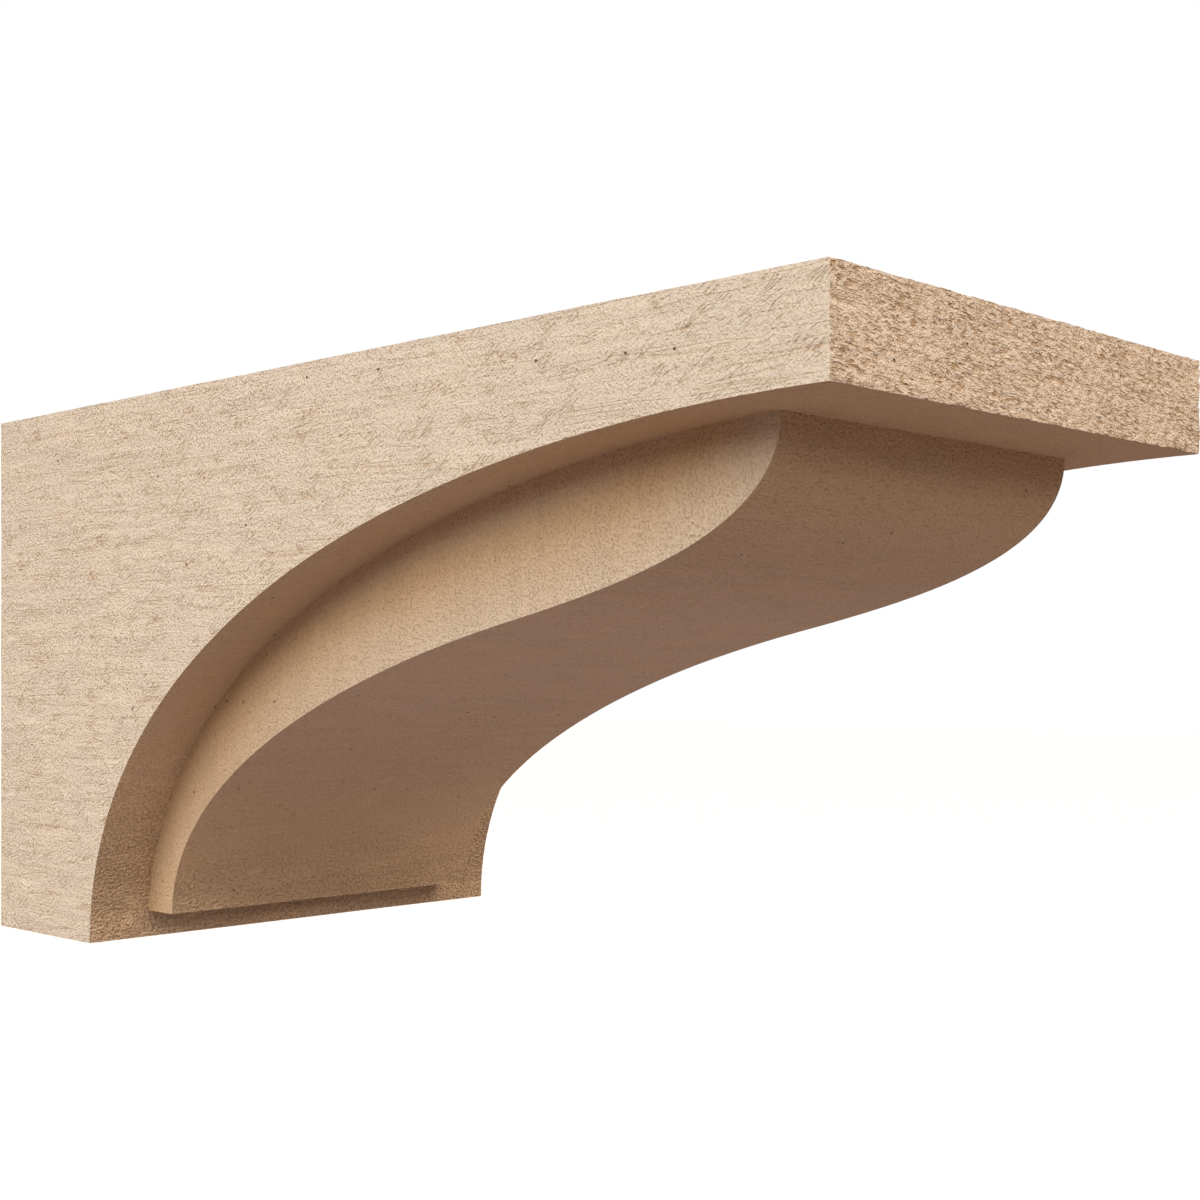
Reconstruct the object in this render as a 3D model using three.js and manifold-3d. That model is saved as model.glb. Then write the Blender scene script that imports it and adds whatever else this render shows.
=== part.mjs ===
// A block corbel, moulded in one piece: a square slab edge in front, a hollow cove under it
// across the full width, and a narrower ogee element that fills the middle of the cove.
// Millimetres. +Z is up, the front edge faces -Y, the wall face is the plane Y = 0, and the
// origin is the centre of the wall face.

import * as THREE from "three";
import { mergeVertices } from "three/addons/utils/BufferGeometryUtils.js";
import Module from "manifold-3d";

// Overall size
const INCH = 25.4;
const HEIGHT = 12 * INCH;
const WIDTH = 12 * INCH;
const PROJECTION = 24 * INCH;

// Body: the slab's front edge and the flat foot that stands against the wall
const SLAB_EDGE = 1.8 * INCH;
const FOOT_DEPTH = 4 * INCH;

// Cove: level where it leaves the slab edge, upright where it reaches the foot.
// Each fullness is the share of the run or of the drop that its curve handle spans.
const COVE_RUN = PROJECTION - FOOT_DEPTH;
const COVE_DROP = HEIGHT - SLAB_EDGE;
const COVE_TOP_FULLNESS = 0.551;
const COVE_FOOT_FULLNESS = 0.59;

// Ogee element: set in from both sides, and stopped short of the foot's underside
const OGEE_INSET = 1.5 * INCH;
const OGEE_LIFT = 0.6 * INCH;
const OGEE_PROUD_OF_FOOT = 1 * INCH;
const OGEE_NOSE_SETBACK = 2 * INCH;
const OGEE_NOSE_DROP = 46.6;

// The ogee's two curves meet where the profile turns from hollow to round
const OGEE_BEND_SETBACK = 207.3;
const OGEE_BEND_DROP = 128.2;
const OGEE_BEND_SLOPE = THREE.MathUtils.degToRad(11.5);
const OGEE_FOOT_HANDLE = 72.2;
const OGEE_HOLLOW_HANDLE = 152.4;
const OGEE_ROUND_HANDLE = 92.0;
const OGEE_NOSE_HANDLE = 44.5;

// How far the ogee element runs up into the slab and back into the foot before they are joined
const OVERLAP_UP = 0.6 * INCH;
const OVERLAP_BACK = 1 * INCH;

const CURVE_STEPS = 48;
const TAN_PRIMER = new THREE.Color("#ccb396");
const PRIMER_ROUGHNESS = 0.85;

const wasm = await Module();
wasm.setup();

// A point of the side profile, given as the distance back from the front edge and the
// distance down from the top. It returns the profile's own two coordinates, Y and Z.
function profilePoint(setback, drop) {
  return [setback - PROJECTION, HEIGHT / 2 - drop];
}

// The body's side outline: top, slab edge, cove, foot and wall face
function bodyOutline() {
  const outline = new THREE.Shape();
  outline.moveTo(...profilePoint(PROJECTION, 0));
  outline.lineTo(...profilePoint(0, 0));
  outline.lineTo(...profilePoint(0, SLAB_EDGE));
  outline.bezierCurveTo(
    ...profilePoint(COVE_TOP_FULLNESS * COVE_RUN, SLAB_EDGE),
    ...profilePoint(COVE_RUN, HEIGHT - COVE_FOOT_FULLNESS * COVE_DROP),
    ...profilePoint(COVE_RUN, HEIGHT),
  );
  outline.lineTo(...profilePoint(PROJECTION, HEIGHT));
  outline.closePath();
  return outline;
}

// The ogee element's side outline. From its bottom it rises upright, sweeps forward in a
// hollow, turns round at the bend and ends upright again at the nose, under the slab.
function ogeeOutline() {
  const bottomDrop = HEIGHT - OGEE_LIFT;
  const frontSetback = COVE_RUN - OGEE_PROUD_OF_FOOT;
  const backSetback = COVE_RUN + OVERLAP_BACK;
  const topDrop = SLAB_EDGE - OVERLAP_UP;
  const forward = Math.cos(OGEE_BEND_SLOPE);
  const rise = Math.sin(OGEE_BEND_SLOPE);

  const outline = new THREE.Shape();
  outline.moveTo(...profilePoint(backSetback, bottomDrop));
  outline.lineTo(...profilePoint(frontSetback, bottomDrop));
  outline.bezierCurveTo(
    ...profilePoint(frontSetback, bottomDrop - OGEE_FOOT_HANDLE),
    ...profilePoint(
      OGEE_BEND_SETBACK + OGEE_HOLLOW_HANDLE * forward,
      OGEE_BEND_DROP + OGEE_HOLLOW_HANDLE * rise,
    ),
    ...profilePoint(OGEE_BEND_SETBACK, OGEE_BEND_DROP),
  );
  outline.bezierCurveTo(
    ...profilePoint(
      OGEE_BEND_SETBACK - OGEE_ROUND_HANDLE * forward,
      OGEE_BEND_DROP - OGEE_ROUND_HANDLE * rise,
    ),
    ...profilePoint(OGEE_NOSE_SETBACK, OGEE_NOSE_DROP + OGEE_NOSE_HANDLE),
    ...profilePoint(OGEE_NOSE_SETBACK, OGEE_NOSE_DROP),
  );
  outline.lineTo(...profilePoint(OGEE_NOSE_SETBACK, topDrop));
  outline.lineTo(...profilePoint(backSetback, topDrop));
  outline.closePath();
  return outline;
}

// A side outline carried straight across, centred on X = 0
function runAcross(outline, span) {
  const geometry = new THREE.ExtrudeGeometry(outline, {
    depth: span,
    steps: 1,
    curveSegments: CURVE_STEPS,
    bevelEnabled: false,
  });
  geometry.translate(0, 0, -span / 2);
  const turn = new THREE.Matrix4().makeBasis(
    new THREE.Vector3(0, 1, 0),
    new THREE.Vector3(0, 0, 1),
    new THREE.Vector3(1, 0, 0),
  );
  return geometry.applyMatrix4(turn);
}

// The closed solid inside a geometry's merged triangles
function toSolid(geometry) {
  geometry.deleteAttribute("normal");
  geometry.deleteAttribute("uv");
  const merged = mergeVertices(geometry);
  return new wasm.Manifold(new wasm.Mesh({
    numProp: 3,
    vertProperties: Float32Array.from(merged.attributes.position.array),
    triVerts: Uint32Array.from(merged.index.array),
  }));
}

function toGeometry(solid) {
  const { vertProperties, triVerts } = solid.getMesh();
  const geometry = new THREE.BufferGeometry();
  geometry.setAttribute("position", new THREE.BufferAttribute(vertProperties, 3));
  geometry.setIndex(new THREE.BufferAttribute(triVerts, 1));
  geometry.computeVertexNormals();
  return geometry;
}

// The whole corbel is one moulding, so the body and the ogee element are joined
function makeCorbel() {
  const body = toSolid(runAcross(bodyOutline(), WIDTH));
  const ogee = toSolid(runAcross(ogeeOutline(), WIDTH - 2 * OGEE_INSET));
  const material = new THREE.MeshStandardMaterial({
    color: TAN_PRIMER,
    roughness: PRIMER_ROUGHNESS,
    metalness: 0,
  });
  const corbel = new THREE.Mesh(toGeometry(body.add(ogee)), material);
  corbel.name = "corbel";
  return corbel;
}

const model = new THREE.Group();
model.add(makeCorbel());

export default model;
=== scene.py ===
"""Looks of a block corbel, moulded in one piece with a sawn-cedar grain and primed tan."""

import math

import bpy
import numpy as np
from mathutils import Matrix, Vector
from mathutils.geometry import delaunay_2d_cdt


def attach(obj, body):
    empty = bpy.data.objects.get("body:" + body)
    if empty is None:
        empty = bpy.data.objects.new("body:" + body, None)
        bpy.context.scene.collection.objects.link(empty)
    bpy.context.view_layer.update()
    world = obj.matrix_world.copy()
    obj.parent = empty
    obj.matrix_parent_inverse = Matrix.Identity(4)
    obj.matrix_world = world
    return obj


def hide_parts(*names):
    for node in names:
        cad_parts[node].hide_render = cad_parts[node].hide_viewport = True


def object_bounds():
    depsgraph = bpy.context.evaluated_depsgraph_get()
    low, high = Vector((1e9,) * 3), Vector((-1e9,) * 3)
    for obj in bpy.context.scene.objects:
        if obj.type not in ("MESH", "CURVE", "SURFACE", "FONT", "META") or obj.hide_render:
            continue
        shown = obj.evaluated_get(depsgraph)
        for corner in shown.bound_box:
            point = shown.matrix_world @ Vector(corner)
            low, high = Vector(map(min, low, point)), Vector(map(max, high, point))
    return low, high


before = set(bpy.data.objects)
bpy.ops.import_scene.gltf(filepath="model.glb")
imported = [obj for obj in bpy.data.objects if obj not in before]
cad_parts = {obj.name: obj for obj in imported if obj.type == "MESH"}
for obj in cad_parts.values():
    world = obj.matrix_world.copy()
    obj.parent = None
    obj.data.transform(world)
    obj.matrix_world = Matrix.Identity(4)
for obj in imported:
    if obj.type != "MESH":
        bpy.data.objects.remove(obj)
cad_low, cad_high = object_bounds()

# Sizes, in metres. The frame gives the overall ones, and the rest are the moulding's own.
INCH = 0.0254
MM = 0.001
WIDTH = cad_high.x - cad_low.x
PROJECTION = cad_high.y - cad_low.y
HEIGHT = cad_high.z - cad_low.z
SLAB_EDGE = 1.8 * INCH
FOOT_DEPTH = 4 * INCH
COVE_RUN = PROJECTION - FOOT_DEPTH
COVE_DROP = HEIGHT - SLAB_EDGE
COVE_TOP_FULLNESS = 0.551
COVE_FOOT_FULLNESS = 0.59
OGEE_INSET = 1.5 * INCH
OGEE_LIFT = 0.6 * INCH
OGEE_PROUD_OF_FOOT = 1 * INCH
OGEE_NOSE_SETBACK = 2 * INCH
OGEE_BEND_SETBACK = 207.3 * MM
OGEE_BEND_DROP = 128.2 * MM
OGEE_BEND_SLOPE = math.radians(11.5)
OGEE_FOOT_HANDLE = 72.2 * MM
OGEE_HOLLOW_HANDLE = 152.4 * MM
OGEE_ROUND_HANDLE = 92.0 * MM
OGEE_NOSE_HANDLE = 44.5 * MM

# Mesh steps. A flat face has one step along the grain and one across it.
ACROSS_STEP = 2.4 * MM
EDGE_STEP = 1.2 * MM
COVE_STEP = 3.2 * MM
OGEE_STEP = 4.0 * MM
TOP_STEP = 9.0 * MM
BACK_STEP = 14.0 * MM
SIDE_STEP = (3.4 * MM, 1.35 * MM)
CHEEK_STEP = (2.2 * MM, 2.2 * MM)
FRONT_STEP = (1.8 * MM, 0.9 * MM)
CURVE_TABLE = 4000

# Points nearer than this are one point, and a turn sharper than this is an arris
MERGE_DISTANCE = 0.01 * MM
ARRIS_TURN = math.radians(50)

# The relief's mean level lies this far inside the solid's own faces
MEAN_SINK = 0.2 * MM

# On an arris the relief is deeper by an even ease and by nicks
ARRIS_EASE = 0.15
ARRIS_NICKS = 2.0
NICK_SIZE = 4 * MM
NICK_LEVEL = 0.1

# Parts of the relief, in millimetres: each one's length along the grain and width across it,
# and its height or depth
SWELL = (95, 60)
SWELL_HEIGHT = 0.10
LUMP = (7.5, 3.4)
LUMP_HEIGHT = 0.09
LINE = (110, 5.2)
LINE_WIDTH = 0.3
LINE_DEPTH = 0.12
WANDER = (38, 16)
WANDER_HEIGHT = 1.2
TEAR = (8, 3.0)
TEAR_LEVEL = 0.25
TEAR_DEPTH = 1.1
CLUSTER = (45, 20)

# The grain map jumps by this for each number of a surface's seed
GRAIN_JUMP = 0.37

# Marks in the primer: each one's length along the grain and width across it
DRIFT_MARK = (50 * MM, 18 * MM)
DRIFT_HEIGHT = 3 * MM
SMOOTH_MARK = (22 * MM, 8 * MM)
BAND_MARK = (60 * MM, 9 * MM)
FINE_MARK = (1.3 * MM, 0.95 * MM)
COARSE_MARK = (3.0 * MM, 1.5 * MM)
CHUNK_MARK = (5.0 * MM, 2.8 * MM)
CAST_MARK = (1.9 * MM, 1.6 * MM)
BROKEN_MARK = (40 * MM, 6 * MM)
LINE_MARK = (130 * MM, 4.2 * MM)
CLUSTER_MARK = (34 * MM, 15 * MM)
PIT_MARK = (5.0 * MM, 1.3 * MM)
CHECK_MARK = (16 * MM, 3.0 * MM)
CHECKED_MARK = (15 * MM, 9 * MM)
FLECK_MARK = (7.0 * MM, 1.3 * MM)
PATCH_MARK = (70 * MM, 30 * MM)
STREAK_MARK = (110 * MM, 3.5 * MM)
HOLE_SPACING = 26 * MM
HOLE_RADIUS = 0.95 * MM

# Colours of the primer: two of the open face, two deeper tans that are painted shade on the
# recesses and undersides, and what tints them: even streaks of tone, a brown that is painted shade
# in dips, pits, lines, checks and flecks, and a brown that is painted shade inside the pinholes
OPEN_TAN = (0.698, 0.582, 0.450, 1)
OPEN_TAN_WARM = (0.710, 0.586, 0.446, 1)
SHADED_TAN = (0.620, 0.408, 0.219, 1)
SHADED_TAN_WARM = (0.628, 0.406, 0.213, 1)
STREAK_DARK = (0.955, 0.95, 0.945, 1)
STREAK_PALE = (1.035, 1.035, 1.035, 1)
CREVICE_SHADE_TINT = (0.66, 0.51, 0.35, 1)
PINHOLE_SHADE_BROWN = (0.19, 0.10, 0.055, 1)
PRIMER_ROUGHNESS = 0.85


def at(setback, drop):
    """A profile point, as the distance back from the front edge and down from the top."""
    return np.stack(np.broadcast_arrays(cad_low.y + setback, cad_high.z - drop), axis=-1)


def bezier(a, b, c, d):
    """The cubic curve (1-t)^3 a + 3 (1-t)^2 t b + 3 (1-t) t^2 c + t^3 d, as a dense table."""
    t = np.linspace(0, 1, CURVE_TABLE)[:, None]
    return (1 - t) ** 3 * a + 3 * (1 - t) ** 2 * t * b + 3 * (1 - t) * t ** 2 * c + t ** 3 * d


def arc_length(points):
    """Length along a chain of points, from its first one."""
    steps = np.linalg.norm(np.diff(points, axis=0), axis=1)
    return np.concatenate([[0], np.cumsum(steps)])


def evenly(points, spacing):
    """The same chain with its points at even steps of arc length, close to the spacing."""
    length = arc_length(points)
    count = max(1, round(length[-1] / spacing))
    wanted = np.linspace(0, length[-1], count + 1)
    return np.stack([np.interp(wanted, length, axis) for axis in points.T], axis=1)


def cut_at(points, index_value, value):
    """Splits a chain in two where one coordinate passes a value."""
    coordinate = points[:, index_value]
    order = np.argsort(coordinate)
    place = np.interp(value, coordinate[order], np.arange(len(points))[order])
    before = int(np.floor(place))
    share = place - before
    middle = points[before] * (1 - share) + points[before + 1] * share
    return np.vstack([points[: before + 1], middle]), np.vstack([middle, points[before + 1 :]])


def cove_curve():
    """The cove's profile from the slab's edge to the foot, in three lengths: in front of the
    ogee's nose, behind the ogee, and below the ogee's bottom."""
    whole = bezier(
        at(0, SLAB_EDGE),
        at(COVE_TOP_FULLNESS * COVE_RUN, SLAB_EDGE),
        at(COVE_RUN, HEIGHT - COVE_FOOT_FULLNESS * COVE_DROP),
        at(COVE_RUN, HEIGHT),
    )
    front, rest = cut_at(whole, 0, cad_low.y + OGEE_NOSE_SETBACK)
    behind, below = cut_at(rest, 1, cad_low.z + OGEE_LIFT)
    return front, behind, below


def ogee_ends():
    """The profile points where the ogee's curve begins, on the cove, and ends."""
    return cove_curve()[1][0], at(COVE_RUN - OGEE_PROUD_OF_FOOT, HEIGHT - OGEE_LIFT)


def ogee_curve(nose, bottom):
    """The ogee's profile from its nose, on the cove, down to the front of its bottom: a round
    half and a hollow half that meet at the bend with one slope."""
    along = np.array([-math.cos(OGEE_BEND_SLOPE), math.sin(OGEE_BEND_SLOPE)])
    bend = at(OGEE_BEND_SETBACK, OGEE_BEND_DROP)
    upright = np.array([0, 1])
    round_half = bezier(
        nose, nose - OGEE_NOSE_HANDLE * upright, bend + OGEE_ROUND_HANDLE * along, bend
    )
    hollow_half = bezier(
        bend, bend - OGEE_HOLLOW_HANDLE * along, bottom + OGEE_FOOT_HANDLE * upright, bottom
    )
    return np.vstack([round_half, hollow_half[1:]])


def noise(u, v, seed):
    """Gradient noise: each corner of a unit grid has a random slope, and the four slopes round
    a point are blended with the weights 6 f^5 - 15 f^4 + 10 f^3. The result is about -1 to 1."""
    table = np.random.default_rng(seed).uniform(0, 2 * np.pi, (256, 256))
    column, row = np.floor(u).astype(int), np.floor(v).astype(int)
    fu, fv = u - column, v - row
    blend_u = fu ** 3 * (fu * (6 * fu - 15) + 10)
    blend_v = fv ** 3 * (fv * (6 * fv - 15) + 10)

    def corner(du, dv):
        """A corner's random slope times the way from that corner to the place."""
        angle = table[(row + dv) % 256, (column + du) % 256]
        return np.cos(angle) * (fu - du) + np.sin(angle) * (fv - dv)

    low = corner(0, 0) * (1 - blend_u) + corner(1, 0) * blend_u
    high = corner(0, 1) * (1 - blend_u) + corner(1, 1) * blend_u
    return 1.5 * (low * (1 - blend_v) + high * blend_v)


def crease(value, width):
    """A soft groove where a noise passes zero: (1 - |value| / width)^2, and 0 beyond."""
    return np.clip(1 - np.abs(value) / width, 0, 1) ** 2


def along_fibres(grain, slant):
    """Distances along and across the short fibres, which slant down from the grain by an
    angle: the grain map turned up by that angle."""
    along, across = grain.T
    return (
        along * np.cos(slant) - across * np.sin(slant),
        along * np.sin(slant) + across * np.cos(slant),
    )


def stretched(along, across, size, seed):
    """Noise stretched to a length along the grain and a width across it."""
    length, width = size
    return noise(along / length, across / width, seed)


def relief(grain, look, seed):
    """Height of the moulded grain at places given as distances along and across it. It is a
    broad swell, plus lumps less long creases where the face is sawn, less torn fibres where a
    noise stretched along the grain stands above a level, in clusters, less the mean sink."""
    along, across = along_fibres(grain / MM, look["slant"])
    swell = stretched(along, across, SWELL, seed)
    cluster = np.clip(0.5 + 1.2 * stretched(along, across, CLUSTER, seed + 1), 0, 1)
    lump = stretched(along, across, LUMP, seed + 3)
    tear = np.clip(stretched(along, across, TEAR, seed + 5) - TEAR_LEVEL, 0, 1)
    along, across = grain.T / MM
    across = across + WANDER_HEIGHT * stretched(along, across, WANDER, seed + 2)
    line = crease(stretched(along, across, LINE, seed + 4), LINE_WIDTH)
    sawn = look["sawn"] * (LUMP_HEIGHT * lump - LINE_DEPTH * line)
    torn = look["torn"] * TEAR_DEPTH * cluster * tear
    return (SWELL_HEIGHT * swell + sawn - torn) * MM - MEAN_SINK


def depth_share(rest):
    """How far a place is below the top, as a share of the height."""
    return (cad_high.z - rest[:, 2]) / HEIGHT


def sawn_face(rest):
    """The look of an outer face: fully sawn, with its stipple deepest toward the wall and its torn
    fibres deepest toward the front edge. Painted light makes it palest toward the wall, and
    painted shade darkens it toward the front."""
    near = 1 - (rest[:, 1] - cad_low.y) / PROJECTION
    coarse = np.clip((near - 0.55) / 0.45, 0, 1)
    return {
        "sawn": 1.0,
        "stipple": 1.6 - 0.85 * near,
        "torn": 0.12 + 0.14 * coarse,
        "slant": 0.6,
        # painted light and shade: lighter toward the wall, darker toward the front
        "painted_light_and_shade": 1.045 - 0.118 * near,
    }


def front_face(rest):
    """The look of the slab's front edge, the most deeply torn of all."""
    return {"sawn": 1.0, "stipple": 1.35, "torn": 1.4, "slant": 0.1}


def cheek_face(rest):
    """The look of the ogee's two sides: fine stipple, and painted shade that deepens from the
    ogee's front line inward, to a little short of the cove, and toward the bottom, where the
    cove's overhang shades the cheek. A factor of painted light and shade darkens the whole cheek a
    little, more toward the bottom near the front line."""
    line = ogee_curve(*ogee_ends())[::20]
    away = np.linalg.norm(rest[:, None, 1:] - line, axis=2).min(axis=1)
    low = np.clip((depth_share(rest) - 0.45) / 0.25, 0, 1)
    # painted shade: the colour deepens with distance from the ogee's front line, as the shadow
    # under the overhang does
    painted_shade = np.interp(away / MM, (0, 10, 20, 30, 38, 48), (0.36, 0.5, 0.68, 0.88, 1.0, 0.75))
    inner = np.clip((away / MM - 15) / 20, 0, 1)
    return {
        "sawn": 0.12,
        "stipple": 0.95,
        "cast": 0.25,
        # painted shade and painted light in the colour
        "painted_shade": np.minimum(painted_shade + 0.42 * low, 0.94),
        "painted_light_and_shade": 0.92 - 0.08 * low + 0.1 * low * inner,
    }


def cove_face(rest):
    """The look of the cove and the foot: fine stipple, with a cast ripple that grows from nothing
    at mid height to full near the bottom. Painted shade deepens the whole cove's colour, most
    under the slab, and painted light makes it palest near the bottom and in the strip below the
    ogee, where the ogee's shadow falls."""
    below = depth_share(rest)
    ripple = np.clip((below - 0.55) / 0.3, 0, 1)
    under_slab = np.clip((0.22 - below) / 0.06, 0, 1)
    strip = np.clip((below - 0.93) / 0.03, 0, 1)
    return {
        "sawn": 0.12,
        "stipple": 0.8 + 0.9 * ripple,
        "cast": ripple,
        # painted shade, deepest under the slab, and painted light, palest in the shadowed strip
        # below the ogee
        "painted_shade": 0.62 + 0.03 * ripple + 0.23 * under_slab,
        "painted_light_and_shade": 1.0 + 0.28 * ripple + 0.17 * strip,
    }


def ogee_face(rest):
    """The look of the ogee's front: painted shade under the slab and near the bottom, and painted
    light palest at the bend, with a cast ripple at its bottom and its top alone."""
    below = depth_share(rest)
    ripple = np.clip((below - 0.78) / 0.15, 0, 1) + np.clip((0.23 - below) / 0.06, 0, 0.35)
    return {
        "sawn": 0.25,
        "stipple": 1.0 + 0.5 * ripple,
        "cast": 0.7 * ripple,
        # painted shade along the profile, and painted light and shade as a factor on the colour
        "painted_shade": np.interp(below, (0.2, 0.42, 0.55, 0.85), (0.85, 0.52, 0.52, 0.72)),
        "painted_light_and_shade": np.interp(below, (0.25, 0.42, 0.5, 0.85, 1.0), (0.91, 1.10, 1.12, 1.00, 1.05)),
    }


def back_face(rest):
    """The look of the open-mould back: nearly flat and bare of grain."""
    # painted shade deepens the back's colour a little
    return {"sawn": 0.06, "stipple": 0.2, "painted_shade": 0.4}


# What a face's look is made of, with the value each has where the face's own look is silent: long
# sawn lines, short stipple, torn fibres and their slant, cast ripple, painted shade that deepens
# the colour on recesses and undersides, and a factor on the colour that is painted light and shade
LOOKS = {
    "sawn": 0.0,
    "stipple": 0.0,
    "torn": 0.0,
    "slant": 0.0,
    "cast": 0.0,
    "painted_shade": 0.0,
    "painted_light_and_shade": 1.0,
}


def surface(rest, outward, faces, grain, look, seed):
    """One surface of the corbel before it is joined to its neighbours. Its shift is outward by
    the relief. Its grain map is moved by a step that differs from surface to surface, so no two
    share a stretch of grain."""
    own_look = LOOKS | look(rest)
    looks = {name: np.broadcast_to(value, len(rest)) for name, value in own_look.items()}
    return {
        "rest": rest,
        "shift": outward * relief(grain, looks, seed)[:, None],
        "faces": faces,
        "grain": grain + seed * GRAIN_JUMP,
        **looks,
    }


def swept(profile, columns, look, seed, covered=None):
    """A profile carried straight across, with the grain running across too: point (i, j) is
    profile point i at column j. Outward is the profile's direction turned a quarter to the
    right. A block of rows that something else covers is left out between the cheeks."""
    rows, count = len(profile), len(columns)
    rest = np.empty((rows, count, 3))
    rest[:, :, 0] = columns
    rest[:, :, 1:] = profile[:, None, :]
    tangent = np.gradient(profile, axis=0)
    tangent /= np.linalg.norm(tangent, axis=1)[:, None]
    outward = np.zeros_like(rest)
    outward[:, :, 1] = tangent[:, 1][:, None]
    outward[:, :, 2] = -tangent[:, 0][:, None]
    length = np.broadcast_to(arc_length(profile)[:, None], (rows, count))
    width = np.broadcast_to(columns, (rows, count))
    grain = np.stack([width, length], axis=-1)

    corner = np.arange(rows * count).reshape(rows, count)
    quads = np.stack([corner[:-1, :-1], corner[1:, :-1], corner[1:, 1:], corner[:-1, 1:]], axis=-1)
    if covered is not None:
        first_row, last_row = covered
        kept = np.ones(quads.shape[:2], dtype=bool)
        middle = (columns[:-1] + columns[1:]) / 2
        kept[first_row:last_row, np.abs(middle) < WIDTH / 2 - OGEE_INSET] = False
        quads = quads[kept]
    quads = quads.reshape(-1, 4)
    faces = np.vstack([quads[:, [0, 1, 2]], quads[:, [0, 2, 3]]])
    used = np.unique(faces)
    number = np.zeros(rows * count, dtype=int)
    number[used] = np.arange(len(used))
    return surface(
        rest.reshape(-1, 3)[used],
        outward.reshape(-1, 3)[used],
        number[faces],
        grain.reshape(-1, 2)[used],
        look,
        seed,
    )


def lattice_inside(outline, clear):
    """Points of a staggered lattice, one step apart in each row, that lie inside a closed
    outline and clear of it. A place is inside a row where the outline has crossed the row an
    odd number of times before it. Each point has to be inside when it is moved by the
    clearance to the left and right, on its own row and just above and below it."""
    low, high = outline.min(axis=0), outline.max(axis=0)
    start, end = outline, np.roll(outline, -1, axis=0)
    kept = []
    for row, level in enumerate(np.arange(low[1], high[1], math.sqrt(3) / 2)):
        along = np.arange(low[0], high[0]) + 0.5 * (row % 2)
        good = np.ones(len(along), dtype=bool)
        for height in (level - clear, level, level + clear):
            spans = (start[:, 1] > height) != (end[:, 1] > height)
            share = (height - start[spans, 1]) / (end[spans, 1] - start[spans, 1])
            crossings = np.sort(start[spans, 0] + share * (end[spans, 0] - start[spans, 0]))
            for moved in (along - clear, along + clear):
                good &= np.searchsorted(crossings, moved) % 2 == 1
        kept.append(np.column_stack([along[good], np.full(good.sum(), level)]))
    return np.vstack(kept)


def panel(outline, step, axis, place, facing, look, seed, upright=False):
    """A flat face across one axis, at one place on it: the closed outline, in the other two
    axes, is filled with a lattice and triangulated. Its grain runs along the first of them,
    or along the second where it is upright."""
    step = np.array(step)
    points = np.vstack([outline / step, lattice_inside(outline / step, 0.5)])
    ring = np.arange(len(outline))
    edges = np.stack([ring, np.roll(ring, -1)], axis=1).tolist()
    filled = delaunay_2d_cdt([Vector(p) for p in points], edges, [], 1, 1e-9)
    number = np.array([ids[0] for ids in filled[3]])
    faces = number[np.array(filled[2])]
    flat = points * step
    rest = np.insert(flat, axis, place, axis=1)
    outward = np.zeros_like(rest)
    outward[:, axis] = facing
    corners = rest[faces]
    turn = np.cross(corners[:, 1] - corners[:, 0], corners[:, 2] - corners[:, 0])[:, axis]
    wrong = turn * facing < 0
    faces[wrong] = faces[wrong][:, ::-1]
    grain = flat[:, ::-1] if upright else flat
    return surface(rest, outward, faces, grain, look, seed)


def join(surfaces):
    """One closed mesh. Points that surfaces share are merged, and there the surfaces' shifts
    are added, then multiplied by 1 plus the rougher face's tearing times the sum of an ease
    and of nicks, where a noise stands above a level."""
    starts = np.cumsum([0] + [len(s["rest"]) for s in surfaces])
    rest = np.vstack([s["rest"] for s in surfaces])
    faces = np.vstack([s["faces"] + start for s, start in zip(surfaces, starts)])
    stacked = {key: np.concatenate([s[key] for s in surfaces]) for key in surfaces[0]
               if key not in ("rest", "faces")}
    keys = np.round(rest / MERGE_DISTANCE).astype(np.int64)
    _, first, number, times = np.unique(
        keys, axis=0, return_index=True, return_inverse=True, return_counts=True
    )
    number = number.reshape(-1)
    shift = np.zeros((len(first), 3))
    np.add.at(shift, number, stacked["shift"])
    roughest = np.zeros(len(first))
    np.maximum.at(roughest, number, stacked["torn"])
    place = rest[first]
    nick = noise((place[:, 0] + place[:, 2]) / NICK_SIZE, place[:, 1] / NICK_SIZE, 7)
    nick = np.clip(nick - NICK_LEVEL, 0, 1)
    worn = 1 + roughest * (ARRIS_EASE + ARRIS_NICKS * nick)
    shift[times > 1] *= worn[times > 1][:, None]
    return place + shift, number[faces], faces, stacked


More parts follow.
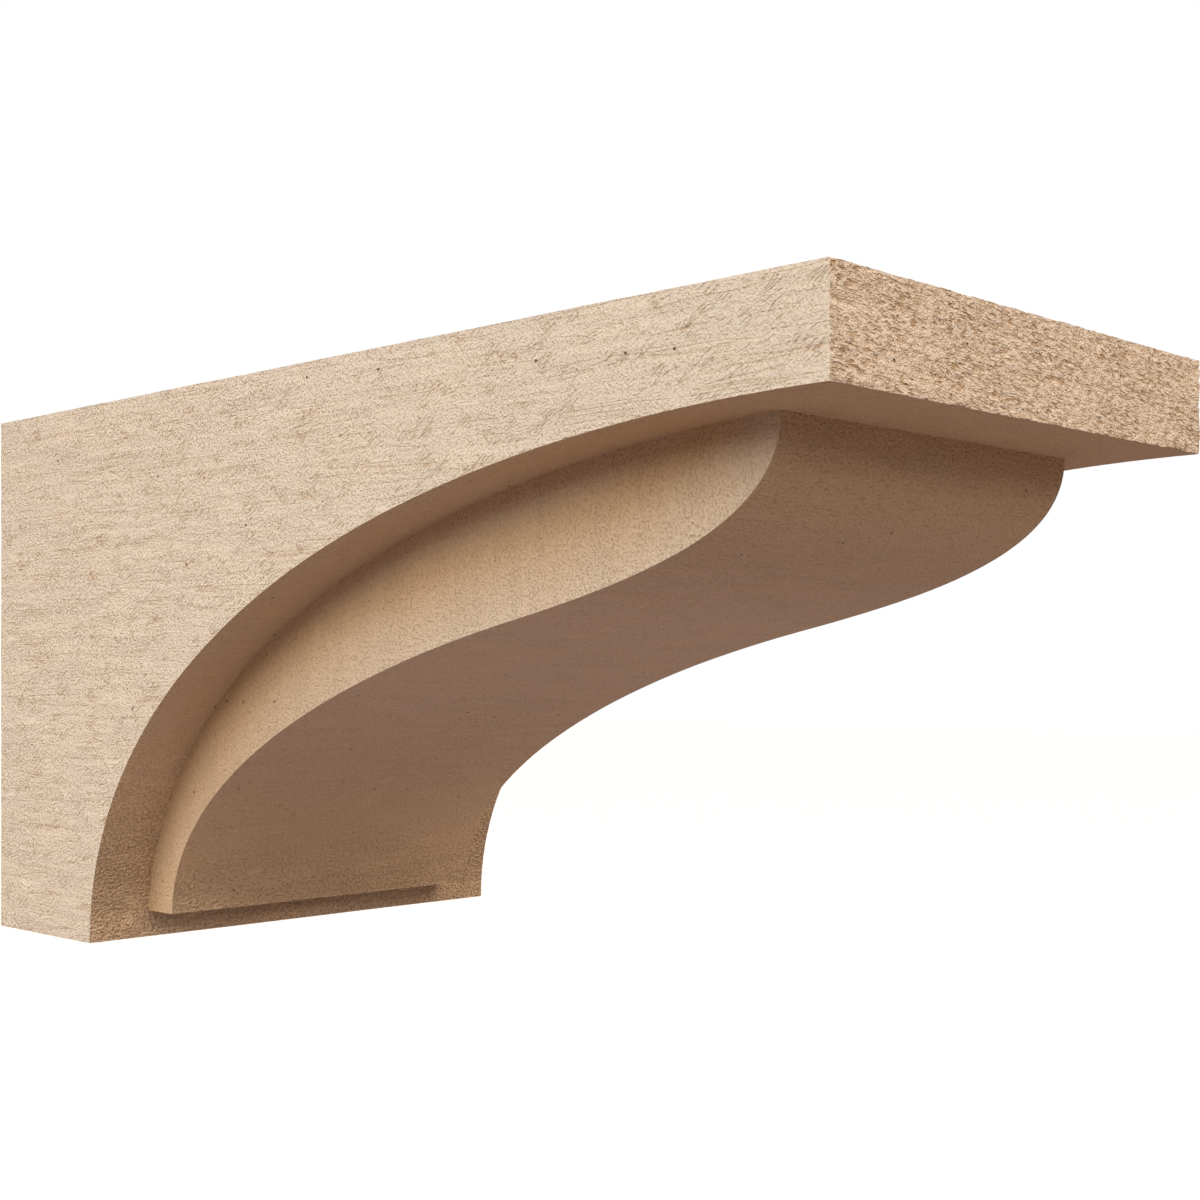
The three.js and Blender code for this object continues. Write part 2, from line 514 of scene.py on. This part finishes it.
def corbel_surfaces():
    """Every surface of the corbel, each running between chains of points that it shares with
    its neighbours."""
    front_cove, behind_cove, below_cove = (
        evenly(length, spacing)
        for length, spacing in zip(cove_curve(), (EDGE_STEP * 2, COVE_STEP, EDGE_STEP * 1.5))
    )
    nose, ogee_bottom_front = ogee_ends()
    ogee = evenly(ogee_curve(nose, ogee_bottom_front), OGEE_STEP)
    ogee_bottom = evenly(np.array([ogee_bottom_front, behind_cove[-1]]), COVE_STEP)
    cove = np.vstack([front_cove, behind_cove[1:], below_cove[1:]])
    foot = evenly(np.array([cove[-1], at(PROJECTION, HEIGHT)]), OGEE_STEP)
    back = evenly(np.array([foot[-1], at(PROJECTION, 0)]), BACK_STEP)
    top = evenly(np.array([back[-1], at(0, 0)]), TOP_STEP)
    front = evenly(np.array([top[-1], cove[0]]), EDGE_STEP)

    inset = WIDTH / 2 - OGEE_INSET
    flange = evenly(np.array([[-WIDTH / 2, 0], [-inset, 0]]), ACROSS_STEP)[:, 0]
    middle = evenly(np.array([[-inset, 0], [inset, 0]]), ACROSS_STEP)[:, 0]
    across = np.concatenate([flange, middle[1:], -flange[::-1][1:]])
    covered = (len(front_cove) - 1, len(front_cove) + len(behind_cove) - 2)

    side = np.vstack([cove[:-1], foot[:-1], back[:-1], top[:-1], front[:-1]])
    cheek = np.vstack([behind_cove[:-1], ogee_bottom[::-1][:-1], ogee[::-1][:-1]])
    edge = np.vstack([
        np.column_stack([across[:-1], np.full(len(across) - 1, front[-1, 1])]),
        np.column_stack([np.full(len(front) - 1, WIDTH / 2), front[::-1, 1][:-1]]),
        np.column_stack([across[::-1][:-1], np.full(len(across) - 1, front[0, 1])]),
        np.column_stack([np.full(len(front) - 1, -WIDTH / 2), front[:-1, 1]]),
    ])
    return [
        panel(side, SIDE_STEP, 0, -WIDTH / 2, -1, sawn_face, 11),
        panel(side, SIDE_STEP, 0, WIDTH / 2, 1, sawn_face, 23),
        panel(edge, FRONT_STEP, 1, cad_low.y, -1, front_face, 31),
        panel(cheek, CHEEK_STEP, 0, -inset, -1, cheek_face, 41, upright=True),
        panel(cheek, CHEEK_STEP, 0, inset, 1, cheek_face, 53, upright=True),
        swept(top, across, sawn_face, 61),
        swept(back, across, back_face, 71),
        swept(foot, across, cove_face, 83),
        swept(cove, across, cove_face, 97, covered),
        swept(ogee, middle, ogee_face, 103),
        swept(ogee_bottom, middle, ogee_face, 113),
    ]


def mesh_object(name, points, faces):
    """A mesh object at the origin, from arrays of points and triangles."""
    mesh = bpy.data.meshes.new(name)
    mesh.vertices.add(len(points))
    mesh.vertices.foreach_set("co", points.astype(np.float32).ravel())
    mesh.loops.add(faces.size)
    mesh.loops.foreach_set("vertex_index", faces.astype(np.int32).ravel())
    mesh.polygons.add(len(faces))
    mesh.polygons.foreach_set("loop_start", np.arange(0, faces.size, 3, dtype=np.int32))
    mesh.polygons.foreach_set("use_smooth", np.ones(len(faces), dtype=bool))
    mesh.update(calc_edges=True)
    made = bpy.data.objects.new(name, mesh)
    bpy.context.scene.collection.objects.link(made)
    return made


def make_corbel(finish):
    """The whole moulding, with its grain map and the looks of its faces as attributes."""
    points, faces, own_faces, stacked = join(corbel_surfaces())
    corbel = mesh_object("corbel_moulding", points, faces)
    mesh = corbel.data
    grain_map = mesh.uv_layers.new(name="grain")
    grain_map.uv.foreach_set("vector", stacked["grain"][own_faces].astype(np.float32).ravel())
    for name in LOOKS:
        layer = mesh.attributes.new(name, "FLOAT", "CORNER")
        layer.data.foreach_set("value", stacked[name][own_faces].astype(np.float32).ravel())
    mesh.set_sharp_from_angle(angle=ARRIS_TURN)
    mesh.materials.append(finish)
    print("corbel", len(points), "points", len(faces), "triangles", flush=True)
    return corbel


def node(tree, kind, settings=None, **inputs):
    """A node with its settings, and its inputs set to a value or linked to a socket. An input
    goes by its name, with _ for a space, or by _ and its number."""
    made = tree.nodes.new(kind)
    for name, value in (settings or {}).items():
        setattr(made, name, value)
    for name, value in inputs.items():
        key = int(name[1:]) if name[0] == "_" else name.replace("_", " ")
        socket = made.inputs[key]
        if isinstance(value, bpy.types.NodeSocket):
            tree.links.new(value, socket)
        else:
            socket.default_value = value
    return made


def math_node(tree, operation, *values):
    """The result of one of Blender's math operations on the values."""
    inputs = {f"_{i}": value for i, value in enumerate(values)}
    return node(tree, "ShaderNodeMath", {"operation": operation}, **inputs).outputs[0]


def total(tree, *values):
    """The sum of the values."""
    result = values[0]
    for value in values[1:]:
        result = math_node(tree, "ADD", result, value)
    return result


def product(tree, *values):
    """The product of the values."""
    result = values[0]
    for value in values[1:]:
        result = math_node(tree, "MULTIPLY", result, value)
    return result


def rising(tree, value, low, high):
    """0 below the low level, 1 above the high one and a smooth step between. With the levels
    the other way round it falls."""
    settings = {"interpolation_type": "SMOOTHSTEP"}
    if low < high:
        return node(
            tree, "ShaderNodeMapRange", settings, Value=value, From_Min=low, From_Max=high
        ).outputs[0]
    return node(
        tree, "ShaderNodeMapRange", settings,
        Value=value, From_Min=high, From_Max=low, To_Min=1.0, To_Max=0.0,
    ).outputs[0]


def blend(tree, share, a, b, kind="MIX"):
    """Two colours blended, or the first multiplied by the second, by a share."""
    return node(
        tree, "ShaderNodeMix", {"data_type": "RGBA", "blend_type": kind}, _0=share, _6=a, _7=b
    ).outputs[2]


def grain_noise(tree, grain, size, detail=2.0, rough=0.5):
    """Noise stretched to a length along the grain and a width across it, about 0 to 1."""
    placed = node(
        tree, "ShaderNodeMapping", {"vector_type": "TEXTURE"}, Vector=grain, Scale=(*size, 1)
    )
    made = node(
        tree,
        "ShaderNodeTexNoise",
        {"noise_dimensions": "2D"},
        Vector=placed.outputs[0],
        Scale=1.0,
        Detail=detail,
        Roughness=rough,
    )
    return made.outputs[0]


def centred(tree, value):
    """A noise moved to run from about -0.5 to 0.5."""
    return math_node(tree, "SUBTRACT", value, 0.5)


def hairline(tree, value, width):
    """1 where a noise passes its middle, falling to 0 at the width on either side."""
    return rising(tree, math_node(tree, "ABSOLUTE", centred(tree, value)), width, 0.0)


def pinholes(tree, grain, spacing, radius):
    """1 inside small round pits, falling to 0 at the radius. Cells of the spacing have one
    where their random number is above a level, which about one in eight passes."""
    placed = node(
        tree,
        "ShaderNodeMapping",
        {"vector_type": "POINT"},
        Vector=grain,
        Scale=(1 / spacing, 1 / spacing, 1),
    ).outputs[0]
    cells = node(
        tree, "ShaderNodeTexVoronoi", {"voronoi_dimensions": "2D"}, Vector=placed, Scale=1.0
    )
    chosen = node(tree, "ShaderNodeSeparateColor", _0=cells.outputs["Color"]).outputs[0]
    near = rising(tree, cells.outputs["Distance"], radius / spacing, 0.4 * radius / spacing)
    return product(tree, near, rising(tree, chosen, 0.86, 0.90))


def stipple_level(tree, straight, fibres, torn, cast):
    """Height of the short stipple, about -0.5 to 0.5: fine and coarse noises, plus chunks where
    the face is torn and cast lumps where it is cast. Its tops are cut flat, except where the
    grain is open because the face is torn or cast."""
    fine = centred(tree, grain_noise(tree, fibres, FINE_MARK, 1.5, 0.6))
    coarse = centred(tree, grain_noise(tree, fibres, COARSE_MARK, 1.5, 0.6))
    chunk = centred(tree, grain_noise(tree, fibres, CHUNK_MARK, 1.0, 0.5))
    lump = centred(tree, grain_noise(tree, straight, CAST_MARK, 1.5, 0.5))
    pile = total(
        tree,
        fine,
        product(tree, coarse, 0.5),
        product(tree, chunk, torn, 0.7),
        product(tree, lump, cast, 1.7),
    )
    flat = math_node(tree, "SMOOTH_MIN", pile, 0.08, 0.06)
    open_grain = math_node(tree, "MAXIMUM", cast, math_node(tree, "MINIMUM", torn, 0.6))
    above = math_node(tree, "SUBTRACT", pile, flat)
    return math_node(tree, "MULTIPLY_ADD", open_grain, above, flat)


def primer_colour(tree, straight, grain, sawn, painted_shade):
    """Tan that drifts between two tones in broad patches, blended toward a deeper tan that is
    painted shade on recesses and undersides, and streaked along the grain where the face is sawn."""
    patch = rising(tree, grain_noise(tree, straight, PATCH_MARK, 3.0, 0.6), 0.35, 0.65)
    face = blend(tree, patch, OPEN_TAN, OPEN_TAN_WARM)
    # painted shade: the deeper tan laid on by the recess share
    shaded = blend(tree, patch, SHADED_TAN, SHADED_TAN_WARM)
    colour = blend(tree, painted_shade, face, shaded)
    streak = rising(tree, grain_noise(tree, grain, STREAK_MARK, 2.5, 0.6), 0.3, 0.7)
    worn = blend(tree, streak, STREAK_DARK, STREAK_PALE)
    return blend(tree, math_node(tree, "MINIMUM", sawn, 1.0), colour, worn, "MULTIPLY")


def faux_wood():
    """Tan primer over moulded grain. The bump's height is in millimetres: the stipple's level
    times the face's roughness, less each kind of mark times its depth. The colour is the primer's,
    with painted shade in the stipple's dips, in the marks and inside the pinholes, times the
    face's factor of painted light and shade."""
    made = bpy.data.materials.new("primed_faux_wood")
    made.use_nodes = True
    tree = made.node_tree
    shader = tree.nodes["Principled BSDF"]
    straight = node(tree, "ShaderNodeUVMap", {"uv_map": "grain"}).outputs[0]
    sawn, stipple, torn, slant, cast, painted_shade, painted_light_and_shade = (
        node(tree, "ShaderNodeAttribute", {"attribute_name": name}).outputs["Fac"]
        for name in LOOKS
    )
    drift = centred(tree, grain_noise(tree, straight, DRIFT_MARK, 1.0))
    offset = node(
        tree, "ShaderNodeCombineXYZ", Y=math_node(tree, "MULTIPLY", drift, DRIFT_HEIGHT)
    ).outputs[0]
    grain = node(
        tree, "ShaderNodeVectorMath", {"operation": "ADD"}, _0=straight, _1=offset
    ).outputs[0]
    fibres = node(
        tree, "ShaderNodeVectorRotate", {"rotation_type": "Z_AXIS"}, Vector=grain, Angle=slant
    ).outputs[0]

    smooth = rising(tree, grain_noise(tree, straight, SMOOTH_MARK, 1.0), 0.66, 0.86)
    band = rising(tree, grain_noise(tree, grain, BAND_MARK, 1.0), 0.3, 0.7)
    rough = product(
        tree,
        stipple,
        math_node(tree, "MULTIPLY_ADD", smooth, -0.6, 1.0),
        math_node(tree, "MULTIPLY_ADD", band, 0.2, 0.9),
    )
    level = stipple_level(tree, straight, fibres, torn, cast)
    dip = rising(tree, level, 0.04, -0.24)
    dip = product(tree, dip, rough, math_node(tree, "MULTIPLY_ADD", cast, -0.25, 1.0))

    broken = rising(tree, grain_noise(tree, grain, BROKEN_MARK, 1.0), 0.40, 0.56)
    line = hairline(tree, grain_noise(tree, grain, LINE_MARK, 1.0), 0.05)
    line = product(tree, line, broken, sawn)

    cluster = rising(tree, grain_noise(tree, straight, CLUSTER_MARK, 1.0), 0.32, 0.62)
    pit = rising(tree, grain_noise(tree, fibres, PIT_MARK, 1.5, 0.5), 0.42, 0.33)
    pit = product(tree, pit, cluster, torn)

    slanted = hairline(tree, grain_noise(tree, fibres, CHECK_MARK, 1.0), 0.05)
    check = rising(tree, grain_noise(tree, straight, CHECKED_MARK, 1.0), 0.54, 0.64)
    check = product(tree, slanted, check, sawn)

    fleck = rising(tree, grain_noise(tree, straight, FLECK_MARK, 1.0), 0.35, 0.27)
    fleck = product(tree, fleck, painted_shade, rising(tree, cast, 0.24, 0.05))
    hole = pinholes(tree, straight, HOLE_SPACING, HOLE_RADIUS)

    height = total(
        tree,
        product(tree, level, rough, math_node(tree, "MULTIPLY_ADD", cast, 0.8, 1.0)),
        product(tree, line, -0.15),
        product(tree, pit, -0.65),
        product(tree, check, -0.3),
        product(tree, fleck, -0.15),
        product(tree, hole, -0.8),
    )
    bump = node(tree, "ShaderNodeBump", Height=height, Strength=1.0, Distance=1.0 * MM)

    # painted shade: darkening in the stipple's dips, pits, lines, checks and flecks, where shade
    # falls
    crevice_shade = total(
        tree,
        product(tree, dip, 0.45),
        product(tree, pit, 0.65),
        product(tree, line, 0.3),
        product(tree, check, 0.5),
        product(tree, fleck, 0.5),
    )
    crevice_shade = math_node(tree, "MINIMUM", crevice_shade, 1.0)
    colour = primer_colour(tree, straight, grain, sawn, painted_shade)
    colour = blend(tree, crevice_shade, colour, CREVICE_SHADE_TINT, "MULTIPLY")
    # painted shade inside the pinholes
    colour = blend(tree, hole, colour, PINHOLE_SHADE_BROWN)
    # painted light and shade: the face's factor on the colour
    colour = node(
        tree, "ShaderNodeVectorMath", {"operation": "SCALE"}, _0=colour, Scale=painted_light_and_shade
    ).outputs[0]
    tree.links.new(colour, shader.inputs["Base Color"])
    tree.links.new(bump.outputs[0], shader.inputs["Normal"])
    shader.inputs["Roughness"].default_value = PRIMER_ROUGHNESS
    return made


# The floor's half width, its depth below the corbel and its grey
FLOOR_HALF = 30.0
FLOOR_BELOW = 0.9
FLOOR_GREY = (0.93, 0.93, 0.93, 1)
FLOOR_ROUGHNESS = 0.9


def make_floor():
    """A plain pale floor, well below the corbel. It casts no shade on it and no light up to it."""
    corners = np.array([[-1, -1], [1, -1], [1, 1], [-1, 1]]) * FLOOR_HALF
    points = np.column_stack([corners, np.full(len(corners), cad_low.z - FLOOR_BELOW)])
    floor = mesh_object("floor", points, np.array([[0, 1, 2], [0, 2, 3]]))
    made = bpy.data.materials.new("pale_floor")
    made.use_nodes = True
    shader = made.node_tree.nodes["Principled BSDF"]
    shader.inputs["Base Color"].default_value = FLOOR_GREY
    shader.inputs["Roughness"].default_value = FLOOR_ROUGHNESS
    floor.data.materials.append(made)
    floor.visible_diffuse = False
    floor.visible_glossy = False
    floor.visible_shadow = False


# Each light: its name, the direction it comes from, strength, spread in degrees and colour
WHITE = (1.0, 1.0, 1.0)
WARM = (1.0, 0.866, 0.753)
LIGHTS = (
    ("left_key", (-0.9, 0.0, 0.45), 2.0, 35, WHITE),
    ("left_front", (-0.85, -0.35, 0.4), 0.52, 35, WHITE),
    ("left_top", (-0.6, -0.15, 0.75), 1.36, 30, WHITE),
    ("front_fill", (0.1, -0.8, 0.6), 2.97, 50, WARM),
)


def make_light(name, direction, strength, spread, colour):
    """A soft distant light that comes from a direction."""
    data = bpy.data.lights.new(name, "SUN")
    data.energy = strength
    data.angle = math.radians(spread)
    data.color = colour
    lamp = bpy.data.objects.new(name, data)
    lamp.rotation_mode = "QUATERNION"
    lamp.rotation_quaternion = Vector(direction).to_track_quat("Z", "Y")
    bpy.context.scene.collection.objects.link(lamp)


# The world's light from below, and how far above and below the horizon it fades
GROUND_GLOW = (0.371, 0.2955, 0.285, 1)
NO_GLOW = (0.0, 0.0, 0.0, 1)
HORIZON_FADE = 0.35


def make_world():
    """Dim warm light from below, which fades to none above the horizon, where the lights take
    over. The camera sees white."""
    world = bpy.data.worlds.new("studio")
    world.use_nodes = True
    bpy.context.scene.world = world
    tree = world.node_tree
    tree.nodes.clear()
    facing = node(tree, "ShaderNodeTexCoord").outputs["Generated"]
    height = node(tree, "ShaderNodeSeparateXYZ", _0=facing).outputs[2]
    share = node(
        tree, "ShaderNodeMapRange", Value=height, From_Min=-HORIZON_FADE, From_Max=HORIZON_FADE
    ).outputs[0]
    sky = blend(tree, share, GROUND_GLOW, NO_GLOW)
    seen = node(tree, "ShaderNodeLightPath").outputs["Is Camera Ray"]
    shown = blend(tree, seen, sky, (*WHITE, 1))
    background = node(tree, "ShaderNodeBackground", Color=shown, Strength=1.0)
    output = tree.nodes.new("ShaderNodeOutputWorld")
    tree.links.new(background.outputs[0], output.inputs[0])


# The camera stands level with the middle of the corbel, 45 degrees round from its front
CAMERA_DISTANCE = 3.1777 * HEIGHT
CAMERA_LENS = 53.25
CAMERA_SHIFT = (0.0552, 0.0621)
SENSOR_WIDTH = 36.0


def make_camera():
    """The camera, away from the corbel's middle by the distance and turned to face it."""
    data = bpy.data.cameras.new("camera")
    data.sensor_width = SENSOR_WIDTH
    data.lens = CAMERA_LENS
    data.shift_x, data.shift_y = CAMERA_SHIFT
    camera = bpy.data.objects.new("camera", data)
    away = Vector((-1, -1, 0)).normalized()
    camera.location = (cad_low + cad_high) / 2 + away * CAMERA_DISTANCE
    camera.rotation_mode = "QUATERNION"
    camera.rotation_quaternion = away.to_track_quat("Z", "Y")
    bpy.context.scene.collection.objects.link(camera)
    bpy.context.scene.camera = camera


make_camera()
make_world()
for light in LIGHTS:
    make_light(*light)
make_floor()

corbel = make_corbel(faux_wood())
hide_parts("corbel")
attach(corbel, "root")

bpy.context.scene.view_settings.view_transform = "Standard"
